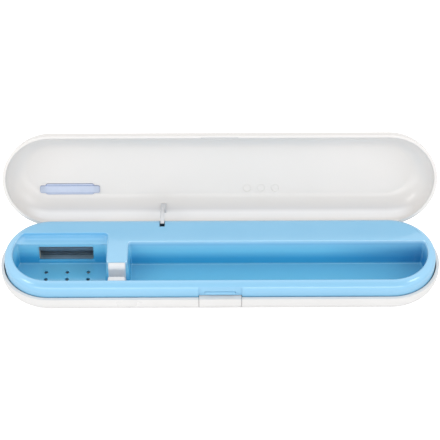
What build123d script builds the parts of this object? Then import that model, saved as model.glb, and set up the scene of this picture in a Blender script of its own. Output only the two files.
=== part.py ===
"""Travel case that sterilises a toothbrush with an ultraviolet lamp.

Millimetres, +Z up. The origin is the centre of the flat underside of the base.
+X is to the right seen from the front, and the hinge is on the +Y side.
The lid stands open against its stops, which is how the case is shown at rest.
"""
import os
from math import cos, radians, sin, sqrt, tan

from build123d import *

# Case outline: a long slot shape, the same for the base and the lid
case_length = 235.0
case_width = 53.4
shell_wall = 1.6

# Base
rim_height = 11.5
base_corner_radius = 8.0

# Inner tray
tray_gap = 0.5
tray_wall = 1.2
deck_height = 20.0
tray_shoulder_radius = 4.2
rim_land = 0.2
skirt_depth = 1.5
draft_angle = 4.0
cavity_corner_radius = 2.0
cavity_floor_radius = 0.6
cavity_edge_break = 0.4
trough_rear_y = 7.45
chamber_rear_y = 8.2
chamber_ledge_rear_y = 13.6
chamber_ledge_depth = 3.0
chamber_ledge_radius = 2.2
divider_left_x = -60.4
divider_right_x = -49.4
divider_front_y = -7.8

# Lamp window in the wall of the head chamber
window_left_x = -97.7
window_right_x = -68.5
window_bottom_z = 5.0
window_top_z = 14.5
window_bevel = 0.8

# Drain holes under the brush head
drain_columns = 3
drain_column_pitch = 11.4
drain_rows = 2
drain_row_pitch = 5.1
drain_centre_x = -82.6
drain_centre_y = -1.8
drain_radius = 1.05
base_drain_radius = 1.5

# Lid
lid_head_room = 7.0
lid_draft_angle = 8.5
lid_corner_radius = 13.5
lid_inner_corner_radius = 11.4
lid_seat_gap = 0.1
lid_opening_angle = 111.0

# Hinge
hinge_positions = (-58.0, 58.0)
knuckle_radius = 2.0
knuckle_clearance = 0.3
lid_knuckle_length = 12.0
base_knuckle_length = 5.0
knuckle_side_gap = 0.25
hinge_pin_radius = 1.0
pin_running_gap = 0.04
stop_length = 4.6
stop_thickness = 1.4
stop_gap = 0.05

# Lid arm that works the safety switch
arm_x = -31.0
arm_width = 1.7
arm_thickness = 1.2
arm_deck_clearance = 1.2
arm_closed_tip_angle = 238.5
arm_foot_thickness = 1.2
arm_foot_width = 2.8
arm_foot_length = 4.4
arm_foot_angle = 48.0
arm_root_angle = 101.0
arm_cam_height = 0.6
arm_cam_step_height = 0.35
arm_cam_lead_angle = 5.0
arm_cam_trail_angle = 15.0
switch_from_tip_angle = 25.0
arm_slot_side_gap = 0.25
arm_slot_end_gap = 0.5
switch_travel = 0.6

# Lid window lens
lens_x = -82.3
lens_hinge_distance = 15.9
lens_length = 26.7
lens_height = 6.3
lens_corner_radius = 1.4
lens_tab_length = 3.0
lens_tab_height = 4.3
lens_tab_thickness = 0.8
lens_proud = 0.5
lens_gap = 0.1

# Round marks in the ceiling of the lid
mark_positions = (14.9, 22.5, 30.2)
mark_radius = 2.1
mark_depth = 0.2

# Latch: recess in the tray, keeper block on the lid, sprung button and catch
recess_half_width = 11.5
recess_depth = 0.7
recess_foot_gap = 0.35
keeper_half_width = 10.0
keeper_height = 5.6
keeper_swing_gap = 0.15
keeper_lip = 1.2
keeper_lead_height = 1.2
groove_bottom_z = 13.2
groove_top_z = 14.6
catch_half_width = 8.0
catch_plate_half_width = 9.5
catch_plate_thickness = 0.8
catch_seat_gap = 0.05
catch_gap = 0.15
catch_engagement = 0.4
catch_lead = 0.65
button_half_width = 11.2
button_gap = 0.2
button_bottom_z = 4.5
button_top_block = 2.3
latch_spring_x = 8.0
latch_spring_z = 7.4
latch_spring_radius = 1.2
latch_spring_wire = 0.3
latch_spring_turns = 4
latch_post_thickness = 1.1
latch_post_y = -20.95
latch_post_half_width = 1.7
latch_post_top = 8.8

# Neck cradle
cradle_width = 9.2
cradle_front_y = -18.6
cradle_gap = 0.2
cradle_front_top = 17.0
cradle_slot_front_y = -15.3
cradle_slot_width = 4.3
cradle_slot_bottom = 9.5
cradle_foot_chamfer = 0.8
cradle_shoulder_radius = 2.4
cradle_edge_radius = 0.8

# Lamp
lamp_y = 13.2
lamp_z = 9.8
lamp_left_x = -101.7
lamp_right_x = -64.5
lamp_radius = 2.5
lamp_cap_radius = 3.2
lamp_cap_length = 3.5
lamp_cap_overlap = 1.5
reflector_radius = 5.0
reflector_thickness = 0.4
reflector_front = 1.2
holder_thickness = 2.4

# Circuit board
board_left_x = -57.8
board_right_x = -34.4
board_front_y = 10.4
board_rear_y = 23.2
board_z = 9.6
board_thickness = 1.6
board_boss_radius = 2.2
board_screw_radius = 1.0
board_screw_head_radius = 1.9
board_screw_head = 1.3
board_screw_length = 6.0
board_boss_side_margin = 0.6
board_boss_edge_margin = 0.4

# Parts on the board, placed from its edges
transformer_left_margin = 8.4
transformer_front_margin = 3.9
transformer_flange = (4.2, 3.3)
transformer_core = (2.6, 2.7)
transformer_levels = (0, 1.4, 5.0, 6.4)
capacitor_radius = 2.5
capacitor_height = 6.6
capacitor_edge_radius = 0.5
capacitor_left_margin = 8.3
capacitor_rear_margin = 2.8
chip_length = 5.0
chip_width = 4.0
chip_height = 1.5
chip_right_margin = 10.6
chip_rear_margin = 5.0
transistor_radius = 2.2
transistor_flat_y = -1.3
transistor_height = 4.6
transistor_standoff = 0.6
transistor_lead_width = 0.4
transistor_lead_pitch = 1.2
transistor_lead_overlap = 0.2
transistor_right_margin = 3.2
transistor_rear_margin = 3.0
resistor_count = 3
resistor_radius = 0.8
resistor_length = 3.6
resistor_pitch = 1.9
resistor_front_margin = 1.4
resistor_right_margin = 9.8

# Safety switch
switch_length = 5.6
switch_half_width = 3.0
switch_height = 6.4
switch_cam_gap = 1.2
plunger_radius = 0.75
plunger_bore_radius = 0.8
plunger_bore_depth = 3.0
plunger_depth = 2.0
plunger_cam_gap = 0.03

# Battery bay, two AA cells in line
cell_radius = 7.1
cell_body_length = 49.2
cell_nub_radius = 2.75
cell_nub_length = 1.3
cell_edge_radius = 0.6
cell_y = 15.6
cell_z = 9.2
cell_row_left_x = -10.6
battery_spring_radius = 3.6
battery_spring_length = 4.2
battery_spring_wire = 0.7
battery_spring_turns = 3
contact_thickness = 0.5
contact_width = 11.0
contact_height = 12.0
cell_clearance = 0.1
bay_rib_thickness = 1.2
bay_rib_top = 15.0
bay_rib_front_step = 0.5
door_left_margin = 2.9
door_right_step = 1.1
door_front_y = 8.3
door_rear_y = 22.9
door_gap = 0.15
door_lip_length = 1.0
door_lip_thickness = 0.7
door_lip_width = 4.0
door_lip_offset = 4.5
door_lip_hold = 1.0
door_grip_margin = 8.0
door_grip_distance = 4.85
grip_groove_count = 4
grip_groove_pitch = 2.0
grip_groove_width = 0.8
grip_groove_depth = 0.4
grip_groove_length = 8.0

# Screws that hold the tray to the base
divider_screw_y = 2.0
bay_screw_x = -21.6
bay_screw_y = 14.0
end_screw_distance = 10.1
end_screw_y = 14.2
case_boss_radius = 2.6
case_screw_radius = 1.25
case_screw_head_radius = 2.3
case_screw_head = 1.6
case_screw_length = 9.0
screw_head_recess = 0.4
screw_head_clearance = 0.2
screw_hole_clearance = 0.15
case_pilot_undersize = 0.15
board_pilot_undersize = 0.1
screw_shank_gap = 0.02
boss_joint_z = 5.0

# Wires
wire_radius = 0.45
wire_bend_radius = 1.0
wire_boss_gap = 0.25
wire_lane_pitch = 2.1
wire_arm_gap = 0.8
wire_pair_pitch = 1.3
wire_rear_offsets = (4.9, 3.4)
wire_board_steps = (1.0, 2.2)
wire_board_distances = (5.6, 6.6)
wire_over_cells = 1.0
lamp_wire_left_reach = 1.7
lamp_wire_right_reach = 1.9
lamp_wire_board_places = (6.3, 2.6)
lamp_wire_left_z = 5.0
lamp_wire_board_drop = 3.1
lamp_wire_holder_gap = 0.35

# Sizes that follow from the ones above
case_radius = case_width / 2
slot_centres = case_length - case_width
inner_radius = case_radius - shell_wall
tray_radius = inner_radius - tray_gap
cavity_radius = tray_radius - tray_shoulder_radius - rim_land
floor_top = shell_wall + tray_wall
deck_underside = deck_height - tray_wall
hinge_y = case_radius
hinge_z = rim_height
lid_bottom = rim_height + lid_seat_gap
lid_top = deck_height + lid_head_room
lid_ceiling = lid_top - shell_wall
recess_face_y = -(tray_radius - recess_depth)
recess_inner_y = recess_face_y + tray_wall
recess_mouth_drop = sqrt(tray_shoulder_radius**2 - (tray_shoulder_radius - recess_depth) ** 2)
recess_mouth_z = deck_height - tray_shoulder_radius + recess_mouth_drop
ledge_z = deck_height - chamber_ledge_depth
arm_inner_radius = deck_height - hinge_z + arm_deck_clearance
arm_outer_radius = arm_inner_radius + arm_thickness
arm_middle_radius = (arm_inner_radius + arm_outer_radius) / 2
cam_lead_angle = switch_from_tip_angle - arm_cam_lead_angle
cam_trail_angle = switch_from_tip_angle + arm_cam_trail_angle
cell_row_right_x = cell_row_left_x + 2 * (cell_body_length + cell_nub_length)
door_left_x = cell_row_left_x - door_left_margin
door_right_x = cell_row_right_x - door_right_step
divider_centre_x = (divider_left_x + divider_right_x) / 2
case_screw_places = (
    (divider_centre_x, divider_screw_y),
    (bay_screw_x, bay_screw_y),
    (cell_row_right_x + end_screw_distance, end_screw_y),
)


def inset_at(depth):
    """How far a drafted cavity wall has moved inwards at a depth below the deck."""
    return depth * tan(radians(draft_angle))


def keeper_face_y(height):
    """Where the keeper face lies at a height, so that its swing clears the mouth of the recess."""
    mouth_reach = hinge_y - recess_face_y + keeper_swing_gap
    swing = sqrt(mouth_reach**2 + (recess_mouth_z - hinge_z) ** 2)
    return hinge_y - sqrt(swing**2 - (height - hinge_z) ** 2)


def slot_body(radius, bottom, top, bottom_fillet=0.0, top_fillet=0.0, draft=0.0):
    """A block with the slot outline of the case, its wall leaning by the draft and its end edges rounded."""
    with BuildPart() as body:
        with BuildSketch(Plane.XY.offset(bottom)):
            SlotCenterToCenter(slot_centres, 2 * radius)
        extrude(amount=top - bottom, taper=draft)
        if bottom_fillet:
            fillet(body.faces().sort_by(Axis.Z)[0].edges(), radius=bottom_fillet)
        if top_fillet:
            fillet(body.faces().sort_by(Axis.Z)[-1].edges(), radius=top_fillet)
    return body.part


def block(x_range, y_range, z_range):
    """A plain block between two values on each axis."""
    with BuildPart() as body:
        with BuildSketch(Plane.XY.offset(z_range[0])):
            with Locations(((x_range[0] + x_range[1]) / 2, (y_range[0] + y_range[1]) / 2)):
                Rectangle(x_range[1] - x_range[0], y_range[1] - y_range[0])
        extrude(amount=z_range[1] - z_range[0])
    return body.part


def rod(radius, start, length, direction):
    """A round rod from a start point along a direction."""
    with BuildPart() as body:
        with BuildSketch(Plane(origin=start, z_dir=direction)):
            Circle(radius)
        extrude(amount=length)
    return body.part


def cavity_outline(wall=0.0):
    """The open area of the tray at deck level, grown by a wall thickness."""
    with BuildSketch() as outline:
        SlotCenterToCenter(slot_centres, 2 * cavity_radius)
        rear = 2 * cavity_radius
        with Locations(((divider_right_x + case_length) / 2, trough_rear_y + rear / 2)):
            Rectangle(case_length - divider_right_x, rear, mode=Mode.SUBTRACT)
        with Locations(((divider_left_x - case_length) / 2, chamber_rear_y + rear / 2)):
            Rectangle(case_length + divider_left_x, rear, mode=Mode.SUBTRACT)
        with Locations(((divider_left_x + divider_right_x) / 2, divider_front_y + rear / 2)):
            Rectangle(divider_right_x - divider_left_x, rear, mode=Mode.SUBTRACT)
        corners = outline.vertices().filter_by(lambda v: v.Y > divider_front_y - 0.01)
        corners = corners.filter_by(lambda v: abs(abs(v.X) - slot_centres / 2) > 0.01)
        fillet(corners, radius=cavity_corner_radius)
        if wall:
            offset(amount=wall, kind=Kind.ARC)
    return outline.sketch


def ledge_outline(wall=0.0):
    """The wider upper part of the head chamber, behind its lamp wall."""
    front = chamber_rear_y - cavity_corner_radius
    with BuildSketch() as outline:
        SlotCenterToCenter(slot_centres, 2 * cavity_radius)
        with Locations((divider_left_x - case_length / 2, (front + chamber_ledge_rear_y) / 2)):
            Rectangle(case_length, chamber_ledge_rear_y - front, mode=Mode.INTERSECT)
        rear_corners = outline.vertices().group_by(Axis.Y)[-1]
        fillet(rear_corners, radius=cavity_corner_radius)
        if wall:
            offset(amount=wall, kind=Kind.ARC)
    return outline.sketch


def cavity_body(outline, top, bottom, floor_radius):
    """A drafted pocket shape below a deck-level outline, with a rounded floor."""
    with BuildPart() as body:
        with BuildSketch(Plane.XY.offset(top)):
            add(outline)
        extrude(amount=-(top - bottom), taper=draft_angle)
        fillet(body.faces().sort_by(Axis.Z)[0].edges(), radius=floor_radius)
    return body.part


def coil(radius, wire, turns, start, length, direction):
    """A coil spring: one round wire along a helix."""
    with BuildPart() as spring:
        with BuildLine() as path:
            Helix(pitch=length / turns, height=length, radius=radius, center=start, direction=direction)
        with BuildSketch(Plane(origin=path.line @ 0, z_dir=path.line % 0)):
            Circle(wire / 2)
        sweep(is_frenet=True)
    return spring.part


def wire_run(points):
    """A round wire of straight runs joined by arcs."""
    with BuildPart() as wire:
        with BuildLine() as path:
            FilletPolyline(points, radius=wire_bend_radius)
        with BuildSketch(Plane(origin=path.line @ 0, z_dir=path.line % 0)):
            Circle(wire_radius)
        sweep()
    return wire.part


def save(builder, label):
    """Label a finished piece and write it under its node name."""
    builder.part.label = label
    export_step(builder.part, f"parts/{label}.step")


os.makedirs("parts", exist_ok=True)

# The lid pieces are drawn closed and then turned open about the hinge
open_lid = (
    Location((0, hinge_y, hinge_z))
    * Location((0, 0, 0), (-lid_opening_angle, 0, 0))
    * Location((0, -hinge_y, -hinge_z))
)


def save_open(builder, label):
    """Turn a lid piece open about the hinge, then save it."""
    builder.part.move(open_lid)
    save(builder, label)


def knuckle_ranges(centre):
    """The x ranges of the base knuckles left and right of a lid knuckle."""
    near = lid_knuckle_length / 2 + knuckle_side_gap
    far = near + base_knuckle_length
    return ((centre - far, centre - near), (centre + near, centre + far))


# Shapes used by several pieces
case_outer = slot_body(case_radius, 0, rim_height, bottom_fillet=base_corner_radius)
case_inner = slot_body(
    inner_radius, shell_wall, lid_top, bottom_fillet=base_corner_radius - shell_wall
)
tray_outer = slot_body(tray_radius, rim_height - skirt_depth, deck_height, top_fillet=tray_shoulder_radius)
tray_hollow = slot_body(
    tray_radius - tray_wall,
    rim_height - skirt_depth - 1,
    deck_underside,
    top_fillet=tray_shoulder_radius - tray_wall,
)

# The lid wall leans, so the stops lean with it
stop_angle = radians(lid_opening_angle - lid_draft_angle)
stop_face = -lid_seat_gap * sin(radians(lid_draft_angle)) - stop_gap

# Base shell
with BuildPart() as base_shell:
    add(case_outer)
    add(case_inner, mode=Mode.SUBTRACT)
    # Room for the lid knuckles, then the base knuckles and the stops that hold the lid open
    for centre in hinge_positions:
        room = lid_knuckle_length + 2 * knuckle_side_gap
        add(
            rod(knuckle_radius + knuckle_clearance, (centre - room / 2, hinge_y, hinge_z), room, (1, 0, 0)),
            mode=Mode.SUBTRACT,
        )
        for left, right in knuckle_ranges(centre):
            add(rod(knuckle_radius, (left, hinge_y, hinge_z), right - left, (1, 0, 0)))
            slope = Plane(
                origin=(left, hinge_y, hinge_z),
                x_dir=(0, sin(stop_angle), cos(stop_angle)),
                z_dir=(1, 0, 0),
            )
            with BuildSketch(slope):
                with Locations((stop_length / 2, stop_face - stop_thickness / 2)):
                    Rectangle(stop_length, stop_thickness)
            extrude(amount=right - left)
        bore = lid_knuckle_length + 2 * (base_knuckle_length + knuckle_side_gap)
        add(
            rod(hinge_pin_radius + pin_running_gap, (centre - bore / 2, hinge_y, hinge_z), bore, (1, 0, 0)),
            mode=Mode.SUBTRACT,
        )
    # Opening for the latch button in the front wall
    opening_half = button_half_width + button_gap
    add(
        block(
            (-opening_half, opening_half),
            (-case_radius - 1, -case_radius + base_corner_radius),
            (button_bottom_z - button_gap, rim_height + 1),
        ),
        mode=Mode.SUBTRACT,
    )
    # Posts that carry the latch springs
    for side in (-1, 1):
        centre = side * latch_spring_x
        add(
            block(
                (centre - latch_post_half_width, centre + latch_post_half_width),
                (latch_post_y - latch_post_thickness, latch_post_y),
                (shell_wall / 2, latch_post_top),
            )
        )
    # Bosses for the case screws, with head recesses in the underside
    for x, y in case_screw_places:
        add(rod(case_boss_radius, (x, y, shell_wall / 2), boss_joint_z - shell_wall / 2, (0, 0, 1)))
        head_room = screw_head_recess + case_screw_head
        head_bore = rod(case_screw_head_radius + screw_head_clearance, (x, y, -1), 1 + head_room, (0, 0, 1))
        add(head_bore, mode=Mode.SUBTRACT)
        shank_bore = rod(case_screw_radius + screw_hole_clearance, (x, y, 0), boss_joint_z, (0, 0, 1))
        add(shank_bore, mode=Mode.SUBTRACT)
    # End ribs of the battery bay
    spring_plate_x = cell_row_left_x - cell_clearance - battery_spring_length
    left_rib_x = spring_plate_x - contact_thickness
    right_rib_x = cell_row_right_x + cell_clearance + contact_thickness
    for left in (left_rib_x - bay_rib_thickness, right_rib_x):
        add(
            block(
                (left, left + bay_rib_thickness),
                (cell_y - cell_radius + bay_rib_front_step, cell_y + cell_radius),
                (shell_wall / 2, bay_rib_top),
            )
        )
    # Opening for the battery door and the drain holes
    add(
        block((door_left_x, door_right_x), (door_front_y, door_rear_y), (-1, base_corner_radius)),
        mode=Mode.SUBTRACT,
    )
    with BuildSketch():
        with Locations((drain_centre_x, drain_centre_y)):
            with GridLocations(drain_column_pitch, drain_row_pitch, drain_columns, drain_rows):
                Circle(base_drain_radius)
    extrude(amount=shell_wall + 0.1, mode=Mode.SUBTRACT)
save(base_shell, "base_shell")

# Inner tray
ledge_floor_z = ledge_z - tray_wall
with BuildPart() as recess_backing:
    add(tray_outer)
    add(
        block(
            (-recess_half_width - tray_wall, recess_half_width + tray_wall),
            (-tray_radius, recess_inner_y),
            (rim_height + recess_foot_gap, deck_height),
        ),
        mode=Mode.INTERSECT,
    )

with BuildPart() as inner_tray:
    add(tray_outer)
    add(tray_hollow, mode=Mode.SUBTRACT)
    add(recess_backing.part)
    pocket_radius = cavity_floor_radius + tray_wall
    add(cavity_body(cavity_outline(tray_wall), deck_underside + 0.2, shell_wall, pocket_radius))
    add(cavity_body(ledge_outline(tray_wall), deck_underside + 0.2, ledge_floor_z, chamber_ledge_radius))
    for x, y in case_screw_places:
        add(rod(case_boss_radius, (x, y, boss_joint_z), deck_underside - boss_joint_z + 0.2, (0, 0, 1)))
        pilot_radius = case_screw_radius - case_pilot_undersize
        pilot = rod(pilot_radius, (x, y, boss_joint_z), case_screw_length, (0, 0, 1))
        add(pilot, mode=Mode.SUBTRACT)
    board_boss_side = board_boss_radius + board_boss_side_margin
    board_boss_edge = board_boss_radius + board_boss_edge_margin
    board_screw_places = (
        (board_left_x + board_boss_side, board_rear_y - board_boss_edge),
        (board_right_x - board_boss_side, board_front_y + board_boss_edge),
    )
    board_top = board_z + board_thickness
    for x, y in board_screw_places:
        add(rod(board_boss_radius, (x, y, board_top), deck_underside - board_top + 0.2, (0, 0, 1)))
        pilot_radius = board_screw_radius - board_pilot_undersize
        pilot = rod(pilot_radius, (x, y, board_top), board_screw_length, (0, 0, 1))
        add(pilot, mode=Mode.SUBTRACT)
    add(cavity_body(cavity_outline(), deck_height, floor_top, cavity_floor_radius), mode=Mode.SUBTRACT)
    add(cavity_body(ledge_outline(), deck_height, ledge_z, chamber_ledge_radius), mode=Mode.SUBTRACT)
    # Bevel along the deck edges of the cavities
    for outline in (cavity_outline(cavity_edge_break), ledge_outline(cavity_edge_break)):
        with BuildSketch(Plane.XY.offset(deck_height)):
            add(outline)
        extrude(amount=-cavity_edge_break, taper=45, mode=Mode.SUBTRACT)
    # Lamp window, wider at its chamber side
    with BuildSketch(Plane.XZ.offset(-chamber_rear_y - tray_wall - 1)):
        with Locations(((window_left_x + window_right_x) / 2, (window_bottom_z + window_top_z) / 2)):
            RectangleRounded(window_right_x - window_left_x, window_top_z - window_bottom_z, 1.0)
    extrude(amount=tray_wall + 4, mode=Mode.SUBTRACT)
    window_middle_z = (window_bottom_z + window_top_z) / 2
    wall_face_y = chamber_rear_y - inset_at(deck_height - window_middle_z)
    wall_plane = Plane(
        origin=((window_left_x + window_right_x) / 2, wall_face_y, window_middle_z),
        x_dir=(1, 0, 0),
        z_dir=(0, -cos(radians(draft_angle)), sin(radians(draft_angle))),
    )
    with BuildSketch(wall_plane):
        Rectangle(
            window_right_x - window_left_x + 2 * window_bevel,
            window_top_z - window_bottom_z + 2 * window_bevel,
        )
    extrude(amount=-window_bevel, taper=45, mode=Mode.SUBTRACT)
    # Drain holes through the chamber floor
    with BuildSketch(Plane.XY.offset(shell_wall - 0.1)):
        with Locations((drain_centre_x, drain_centre_y)):
            with GridLocations(drain_column_pitch, drain_row_pitch, drain_columns, drain_rows):
                Circle(drain_radius)
    extrude(amount=tray_wall + 0.2, mode=Mode.SUBTRACT)
    # Slot for the lid arm
    inner_reach = sqrt(arm_inner_radius**2 - (deck_height - hinge_z) ** 2)
    outer_reach = sqrt(arm_outer_radius**2 - (deck_underside - hinge_z) ** 2)
    arm_slot_rear_y = hinge_y - inner_reach + arm_slot_end_gap
    arm_slot_front_y = hinge_y - outer_reach - arm_slot_end_gap
    arm_slot_half = arm_width / 2 + arm_slot_side_gap
    add(
        block(
            (arm_x - arm_slot_half - arm_cam_height, arm_x + arm_slot_half),
            (arm_slot_front_y, arm_slot_rear_y),
            (deck_underside - 2, deck_height + 1),
        ),
        mode=Mode.SUBTRACT,
    )
    # Latch recess: the wall stands back, and stops at the rim so that the button passes under it
    add(
        block(
            (-recess_half_width, recess_half_width),
            (-tray_radius - 1, recess_face_y),
            (rim_height - skirt_depth - 1, deck_height),
        ),
        mode=Mode.SUBTRACT,
    )
    add(
        block(
            (-recess_half_width, recess_half_width),
            (-tray_radius - 1, recess_inner_y + 0.5),
            (rim_height - skirt_depth - 1, rim_height + recess_foot_gap),
        ),
        mode=Mode.SUBTRACT,
    )
    add(
        block(
            (-catch_half_width - catch_gap, catch_half_width + catch_gap),
            (recess_face_y - 1, recess_inner_y + 1),
            (groove_bottom_z, groove_top_z),
        ),
        mode=Mode.SUBTRACT,
    )
save(inner_tray, "inner_tray")

# Lid shell, drawn closed
lid_outer = slot_body(
    case_radius, lid_bottom, lid_top, top_fillet=lid_corner_radius, draft=lid_draft_angle
)
with BuildPart() as lid_shell:
    add(lid_outer)
    add(
        slot_body(inner_radius, lid_bottom - 1, lid_ceiling, top_fillet=lid_inner_corner_radius),
        mode=Mode.SUBTRACT,
    )
    # Room for the base knuckles, then the lid knuckles
    for centre in hinge_positions:
        for left, right in knuckle_ranges(centre):
            start = (left - knuckle_side_gap, hinge_y, hinge_z)
            length = right - left + 2 * knuckle_side_gap
            add(rod(knuckle_radius + knuckle_clearance, start, length, (1, 0, 0)), mode=Mode.SUBTRACT)
        knuckle_start = (centre - lid_knuckle_length / 2, hinge_y, hinge_z)
        add(rod(knuckle_radius, knuckle_start, lid_knuckle_length, (1, 0, 0)))
        add(
            rod(hinge_pin_radius + pin_running_gap, knuckle_start, lid_knuckle_length, (1, 0, 0)),
            mode=Mode.SUBTRACT,
        )
    # Keeper inside the free edge, with a lead-in slope and the groove that the catch enters
    keeper_root = (-case_radius + keeper_lip, lid_bottom)
    lead_z = lid_bottom + keeper_lead_height
    keeper_top_z = lid_bottom + keeper_height
    keeper_lead = (keeper_face_y(lead_z), lead_z)
    with BuildSketch(Plane.YZ.offset(-keeper_half_width)):
        with BuildLine():
            Polyline(
                keeper_root,
                keeper_lead,
                (keeper_face_y(keeper_top_z), keeper_top_z),
                (keeper_root[0], keeper_top_z),
                close=True,
            )
        make_face()
    extrude(amount=2 * keeper_half_width)
    with BuildSketch(Plane.YZ.offset(-keeper_half_width)):
        with BuildLine():
            Polyline(keeper_root, keeper_lead, (keeper_lead[0], lid_bottom), close=True)
        make_face()
    extrude(amount=2 * keeper_half_width, mode=Mode.SUBTRACT)
    groove_middle_z = (groove_bottom_z + groove_top_z) / 2
    nose_tip_y = keeper_face_y(groove_middle_z) - catch_engagement
    add(
        block(
            (-catch_half_width - 2 * catch_gap, catch_half_width + 2 * catch_gap),
            (nose_tip_y - catch_gap, recess_face_y),
            (groove_bottom_z, groove_top_z),
        ),
        mode=Mode.SUBTRACT,
    )
    # Hole for the lens and the marks in the ceiling
    lens_y = hinge_y - lens_hinge_distance
    with BuildSketch(Plane.XY.offset(lid_ceiling - 0.1)):
        with Locations((lens_x, lens_y)):
            RectangleRounded(lens_length + 2 * lens_gap, lens_height + 2 * lens_gap, lens_corner_radius)
    extrude(amount=shell_wall + 0.2, mode=Mode.SUBTRACT)
    with BuildSketch(Plane.XY.offset(lid_ceiling - 0.1)):
        with Locations([(x, lens_y) for x in mark_positions]):
            Circle(mark_radius)
    extrude(amount=mark_depth + 0.1, mode=Mode.SUBTRACT)
save_open(lid_shell, "lid_shell")

# Lens of the lid window
with BuildPart() as lid_window:
    with BuildSketch(Plane.XY.offset(lid_ceiling - lens_proud)):
        with Locations((lens_x, lens_y)):
            RectangleRounded(lens_length, lens_height, lens_corner_radius)
    extrude(amount=lid_top - lid_ceiling + lens_proud)
    with BuildSketch(Plane.XY.offset(lid_ceiling - lens_tab_thickness)):
        with Locations((lens_x, lens_y)):
            RectangleRounded(lens_length + 2 * lens_tab_length, lens_tab_height, 1.0)
    extrude(amount=lens_tab_thickness)
    add(lid_outer, mode=Mode.INTERSECT)
save_open(lid_window, "lid_window")

# Curved arm of the lid, a ring sector about the hinge, with a foot on the lid and a cam near its tip
fillet_centre_y = inner_radius - lid_inner_corner_radius
fillet_centre_z = lid_ceiling - lid_inner_corner_radius
arm_plane = Plane(origin=(arm_x - arm_width / 2, hinge_y, hinge_z), x_dir=(0, 1, 0), z_dir=(1, 0, 0))


def ring_point(radius, angle):
    """A point of the arm plane, at a radius and an angle about the hinge."""
    return (radius * cos(radians(angle)), radius * sin(radians(angle)))


def ring_sector(inner, outer, start, end):
    """A sector of a ring about the hinge."""
    middle = (start + end) / 2
    with BuildSketch() as sector:
        with BuildLine():
            ThreePointArc(ring_point(outer, start), ring_point(outer, middle), ring_point(outer, end))
            Line(ring_point(outer, end), ring_point(inner, end))
            ThreePointArc(ring_point(inner, end), ring_point(inner, middle), ring_point(inner, start))
            Line(ring_point(inner, start), ring_point(outer, start))
        make_face()
    return sector.sketch


with BuildPart() as lid_arm:
    with BuildSketch(arm_plane):
        add(ring_sector(arm_inner_radius, arm_outer_radius, arm_root_angle, arm_closed_tip_angle))
    extrude(amount=arm_width)
    tip_edges = lid_arm.edges().filter_by(Axis.X).sort_by(Axis.Z)[:2]
    fillet(tip_edges, radius=0.55)
    cam_start = arm_closed_tip_angle - cam_trail_angle
    cam_end = arm_closed_tip_angle - cam_lead_angle
    with BuildSketch(arm_plane.offset(-arm_cam_height)):
        add(ring_sector(arm_inner_radius, arm_outer_radius, cam_start, cam_end))
    extrude(amount=arm_cam_height)
    with BuildSketch(arm_plane.offset(-arm_cam_step_height)):
        add(ring_sector(arm_inner_radius, arm_outer_radius, cam_end, arm_closed_tip_angle))
    extrude(amount=arm_cam_step_height)
    # The foot follows the rounded corner of the lid
    foot_plane = Plane(
        origin=(arm_x - arm_foot_width / 2, fillet_centre_y, fillet_centre_z),
        x_dir=(0, 1, 0),
        z_dir=(1, 0, 0),
    )
    foot_radius = lid_inner_corner_radius
    foot_y = foot_radius * cos(radians(arm_foot_angle))
    foot_z = foot_radius * sin(radians(arm_foot_angle))
    with BuildSketch(foot_plane):
        Circle(foot_radius)
        Circle(foot_radius - arm_foot_thickness, mode=Mode.SUBTRACT)
        with Locations((foot_y, foot_z)):
            Rectangle(arm_foot_length, arm_foot_length, mode=Mode.INTERSECT)
    extrude(amount=arm_foot_width)
    add(slot_body(inner_radius, lid_bottom - 12, lid_ceiling, top_fillet=foot_radius), mode=Mode.INTERSECT)
save_open(lid_arm, "lid_arm")

# Hinge pins
pin_length = lid_knuckle_length + 2 * (base_knuckle_length + knuckle_side_gap)
with BuildPart() as hinge_pins:
    for centre in hinge_positions:
        add(rod(hinge_pin_radius, (centre - pin_length / 2, hinge_y, hinge_z), pin_length, (1, 0, 0)))
save(hinge_pins, "hinge_pins")

# Latch button: its face continues the outside of the base, its top fills the recess at the rim
block_bottom = rim_height - button_top_block
catch_plate_front = recess_inner_y + catch_seat_gap
catch_plate_rear = catch_plate_front + catch_plate_thickness
with BuildPart() as latch_button:
    add(case_outer)
    add(case_inner, mode=Mode.SUBTRACT)
    add(
        block(
            (-button_half_width, button_half_width),
            (-case_radius - 1, -case_radius + base_corner_radius),
            (button_bottom_z, rim_height + 1),
        ),
        mode=Mode.INTERSECT,
    )
    add(
        block(
            (-button_half_width, button_half_width),
            (-inner_radius - shell_wall / 2, catch_plate_front),
            (block_bottom, rim_height),
        )
    )
save(latch_button, "latch_button")

# Latch catch: a plate behind the recess wall whose nose reaches through it into the keeper
nose_bottom_z = groove_bottom_z + catch_gap
nose_top_z = groove_top_z - catch_gap
nose_root_y = catch_plate_front + catch_plate_thickness / 2
with BuildPart() as latch_catch:
    add(
        block(
            (-catch_plate_half_width, catch_plate_half_width),
            (catch_plate_front, catch_plate_rear),
            (block_bottom, groove_top_z + 0.2),
        )
    )
    with BuildSketch(Plane.YZ.offset(-catch_half_width)):
        with BuildLine():
            Polyline(
                (nose_root_y, nose_bottom_z),
                (nose_tip_y, nose_bottom_z),
                (nose_tip_y, nose_top_z - catch_lead),
                (nose_tip_y + catch_lead, nose_top_z),
                (nose_root_y, nose_top_z),
                close=True,
            )
        make_face()
    extrude(amount=2 * catch_half_width)
save(latch_catch, "latch_catch")

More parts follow.
